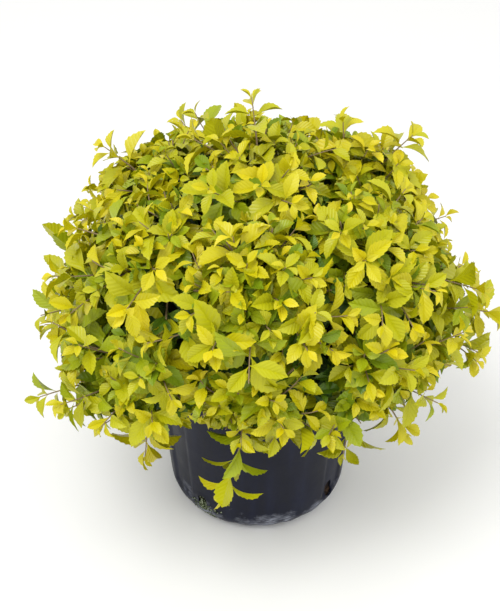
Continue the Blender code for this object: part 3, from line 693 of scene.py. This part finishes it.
    def spray_tint(self, tip):
        """The tint of a spray: gold where the sun falls, greener low down and under the mound."""
        shade = max(0.0, (CROWN_MIDDLE + 0.05 - tip.z) / 0.16)
        return 0.9 * min(1.6, shade) + self.random.uniform(-0.4, 1.0)


def walk(line, lengths, distance):
    """The direction and the place at a distance along a line of points."""
    for a, b, length in zip(line, line[1:], lengths):
        if distance <= length or b is line[-1]:
            return (b - a).normalized(), a.lerp(b, max(0.0, min(1.0, distance / length)))
        distance -= length


sites = [site for _, site in places]
long_tips = [polar(*shoot) for shoot in LONG_SHOOTS]
masses = []
for index, site in enumerate(sites):
    seat, along = seats[index]
    mass = Mass(site, [s for s in sites if s is not site], seat + along * JOINT_GAP, along, 100 + index)
    mass.grow([tip for tip in long_tips if min(sites, key=lambda s: (s - tip).length) is site])
    masses.append(mass)


# The twigs are slim and round, and tan. They hold the leaves
# and are all that shows between them.
TWIG_SIDES = 5


def tube_arrays(line, foot_radius, tip_radius, sides):
    """Vertices and faces of a tapering tube along a line of points, closed at its tip."""
    points = np.array([tuple(p) for p in line])
    ahead = np.vstack([points[1:] - points[:-1], points[-1:] - points[-2:-1]])
    ahead /= np.linalg.norm(ahead, axis=1)[:, None]
    helper = np.where(np.abs(ahead[:, 2:3]) > 0.9, [[1.0, 0.0, 0.0]], [[0.0, 0.0, 1.0]])
    side = np.cross(ahead, helper)
    side /= np.linalg.norm(side, axis=1)[:, None]
    over = np.cross(side, ahead)
    angles = np.arange(sides) * math.tau / sides
    radii = np.linspace(foot_radius, tip_radius, len(points))
    ring = np.cos(angles)[None, :, None] * side[:, None, :] + np.sin(angles)[None, :, None] * over[:, None, :]
    verts = (points[:, None, :] + radii[:, None, None] * ring).reshape(-1, 3)
    verts = np.vstack([verts, points[-1] + ahead[-1] * tip_radius])
    faces = []
    for i in range(len(points) - 1):
        for j in range(sides):
            a, b = i * sides + j, i * sides + (j + 1) % sides
            faces.append((a, a + sides, b + sides, b))
    last = (len(points) - 1) * sides
    caps = [(last + j, len(verts) - 1, last + (j + 1) % sides) for j in range(sides)]
    return verts, faces, caps


twig_verts, twig_faces, start_index = [], [], 0
for mass in masses:
    for line, foot_radius, tip_radius in mass.twigs:
        verts, faces, caps = tube_arrays(line, foot_radius, tip_radius, TWIG_SIDES)
        twig_verts.append(verts)
        twig_faces += [tuple(v + start_index for v in face) for face in faces + caps]
        start_index += len(verts)
twig_mesh = bpy.data.meshes.new("twigs")
twig_mesh.from_pydata(np.vstack(twig_verts).tolist(), [], twig_faces)
twig_mesh.shade_smooth()
twig_skin, tree, shader = new_material("young_twig_bark", "#8f7a58", 0.7)
place = add_node(tree, "ShaderNodeTexCoord").outputs["Object"]
mottle = add_node(tree, "ShaderNodeTexNoise", {"Vector": place, "Scale": 240.0, "Detail": 3.0}).outputs["Fac"]
relief = add_node(tree, "ShaderNodeBump", {"Height": mottle, "Strength": 0.4, "Distance": 0.0004})
tree.links.new(relief.outputs["Normal"], shader.inputs["Normal"])
rough = add_node(tree, "ShaderNodeMapRange", {"Value": mottle, "To Min": 0.55, "To Max": 0.85}).outputs["Result"]
tree.links.new(rough, shader.inputs["Roughness"])
add_piece("twigs", twig_mesh, twig_skin, "leaves")


# The leaves are small, thin and glossy: oval, pointed, folded along the midrib, bent back at the tip,
# and coarsely toothed in their outer half. The plant's colour is all in them: gold where the sun
# falls, through chartreuse and lime to deep green inside.
LEAF_STATIONS = ((0.0, 0.013), (0.11, 0.017), (0.20, 0.056), (0.31, 0.132), (0.43, 0.202), (0.53, 0.242),
                 (0.56, 0.220), (0.65, 0.238), (0.68, 0.196), (0.77, 0.190), (0.80, 0.146), (0.88, 0.122),
                 (0.91, 0.076), (1.0, 0.004))
LEAF_FORMS = ((0.16, 0.50, 0.6), (0.30, 0.70, 2.1), (0.44, 0.42, 3.7), (0.22, 0.95, 5.0), (0.58, 0.60, 1.3))
LEAF_TINTS = ("#d4c60a", "#c7be0a", "#b6b50b", "#9ca80c", "#7d940f", "#597913", "#375612", "#1a340d")
LEAF_CREASE = 34.0
TINT_NAMES = ("gold", "bright_yellow", "yellow", "chartreuse", "lime", "fresh_green", "green", "deep_green")


def leaf_template(curve, fold, ripple):
    """A leaf one metre long along +Y, its upper side up: left margin, midrib and right margin."""
    rows = []
    for along, half in LEAF_STATIONS:
        drop = -curve * along ** 2.2
        slope = -2.2 * curve * along ** 1.2
        for sign in (-1.0, 0.0, 1.0):
            lift = fold * half * abs(sign) * (1.0 - 0.35 * along)
            lift += 0.018 * math.sin(9.0 * along + ripple + sign) * abs(sign) * (half > 0.1)
            rows.append((sign * half, along * (1.0 - 0.25 * curve * along) - slope * lift, drop + lift))
    return np.array(rows)


leaf_uv = np.array([(0.5 + 2.0 * sign * half, along) for along, half in LEAF_STATIONS for sign in (-1, 0, 1)])
leaf_quads = []
for i in range(len(LEAF_STATIONS) - 1):
    for j in range(2):
        a = 3 * i + j
        leaf_quads.append((a, a + 1, a + 4, a + 3))
leaf_quads = np.array(leaf_quads)
templates = [leaf_template(*form) for form in LEAF_FORMS]
rng = np.random.default_rng(7)
all_leaves = [leaf for mass in masses for leaf in mass.leaves]
by_tint = [[] for _ in LEAF_TINTS]
for leaf in all_leaves:
    by_tint[min(len(LEAF_TINTS) - 1, max(0, int(round(leaf[5] + 0.5))))].append(leaf)

foliage_nodes = ["foliage_" + name for name, _ in places]
for tint, leaves in enumerate(by_tint):
    if not leaves:
        continue
    forms = rng.integers(0, len(templates), len(leaves))
    verts = []
    for (base, across, towards, upper, length, _), form in zip(leaves, forms):
        turn = np.array([tuple(across), tuple(towards), tuple(upper)])
        verts.append(templates[form] * length @ turn + np.array(tuple(base)))
    count = len(LEAF_STATIONS) * 3
    offsets = np.arange(len(leaves))[:, None, None] * count
    faces = (leaf_quads[None, :, :] + offsets).reshape(-1, 4)
    name = "leaves_" + TINT_NAMES[tint]
    mesh = bpy.data.meshes.new(name)
    mesh.from_pydata(np.vstack(verts).tolist(), [], faces.tolist())
    layer = mesh.uv_layers.new(name="blade")
    layer.data.foreach_set("uv", leaf_uv[faces.reshape(-1) % count].astype(np.float32).reshape(-1))
    mesh.shade_smooth()
    mesh.set_sharp_from_angle(angle=math.radians(LEAF_CREASE))
    made, tree, shader = new_material("glossy_leaf_" + TINT_NAMES[tint], LEAF_TINTS[tint], 0.5, 0.42)
    blade = add_node(tree, "ShaderNodeUVMap", uv_map="blade").outputs["UV"]
    parts = add_node(tree, "ShaderNodeSeparateXYZ", {"Vector": blade})
    aside = add_node(tree, "ShaderNodeMath", {0: parts.outputs["X"], 1: 0.5}, operation='SUBTRACT').outputs[0]
    aside = add_node(tree, "ShaderNodeMath", {0: aside}, operation='ABSOLUTE').outputs[0]
    forward = add_node(tree, "ShaderNodeMath", {0: parts.outputs["Y"], 1: 52.0}, operation='MULTIPLY').outputs[0]
    slant = add_node(tree, "ShaderNodeMath", {0: aside, 1: 30.0}, operation='MULTIPLY').outputs[0]
    phase = add_node(tree, "ShaderNodeMath", {0: forward, 1: slant}, operation='SUBTRACT').outputs[0]
    veins = add_node(tree, "ShaderNodeMath", {0: phase}, operation='SINE').outputs[0]
    midrib = add_node(tree, "ShaderNodeMapRange", {"Value": aside, "From Max": 0.06}).outputs["Result"]
    height = add_node(tree, "ShaderNodeMath", {0: veins, 1: midrib}, operation='MULTIPLY').outputs[0]
    height = add_node(tree, "ShaderNodeMath", {0: height, 1: midrib}, operation='ADD').outputs[0]
    relief = add_node(tree, "ShaderNodeBump", {"Height": height, "Strength": 0.28, "Distance": 0.0005})
    tree.links.new(relief.outputs["Normal"], shader.inputs["Normal"])
    gloss = add_node(tree, "ShaderNodeMapRange", {"Value": veins, "From Min": -1.0, "To Min": 0.34, "To Max": 0.50})
    tree.links.new(gloss.outputs["Result"], shader.inputs["Roughness"])
    add_piece(name, mesh, made, "leaves", *(foliage_nodes if tint == 1 else []))
print("leaves", len(all_leaves), [len(leaves) for leaves in by_tint], "twigs", len(twig_verts))


# The floor is a plain pale sheet, far wider than the view.
floor = bpy.data.objects.new("floor", bpy.data.meshes.new("floor"))
floor_bm = bmesh.new()
bmesh.ops.create_circle(floor_bm, cap_ends=True, segments=64, radius=9.0)
floor_bm.to_mesh(floor.data)
floor_bm.free()
bpy.context.scene.collection.objects.link(floor)
pale_floor, tree, shader = new_material("matt_pale_floor", "#f4f4f2", 0.9)
floor.data.materials.append(pale_floor)

# Soft studio light: a bright even surround, a wide panel overhead a little to the front left, and a
# weaker one at the right.
world = bpy.data.worlds.new("surround")
world.use_nodes = True
world.node_tree.nodes["Background"].inputs["Color"].default_value = linear("#ffffff")
world.node_tree.nodes["Background"].inputs["Strength"].default_value = 0.93
bpy.context.scene.world = world
bpy.context.scene.view_settings.view_transform = 'Standard'
for name, spot, size, power in (("key_light", (-0.7, -0.9, 2.5), 1.2, 32.0),
                                ("fill_light", (1.6, -0.9, 1.5), 1.2, 6.0)):
    lamp = bpy.data.lights.new(name, 'AREA')
    lamp.size = size
    lamp.energy = power
    light = bpy.data.objects.new(name, lamp)
    light.location = spot
    light.rotation_euler = (Vector((0.0, 0.0, 0.3)) - Vector(spot)).to_track_quat('-Z', 'Y').to_euler()
    bpy.context.scene.collection.objects.link(light)

# The camera looks down at the plant from the front, as in the photograph.
camera = bpy.data.objects.new("camera", bpy.data.cameras.new("camera"))
camera.data.sensor_width = 36.0
camera.data.lens = 62.7
camera.location = (-0.0095, -0.990, 1.060)
camera.rotation_euler = (math.radians(51.7), 0.0, 0.0)
bpy.context.scene.collection.objects.link(camera)
bpy.context.scene.camera = camera
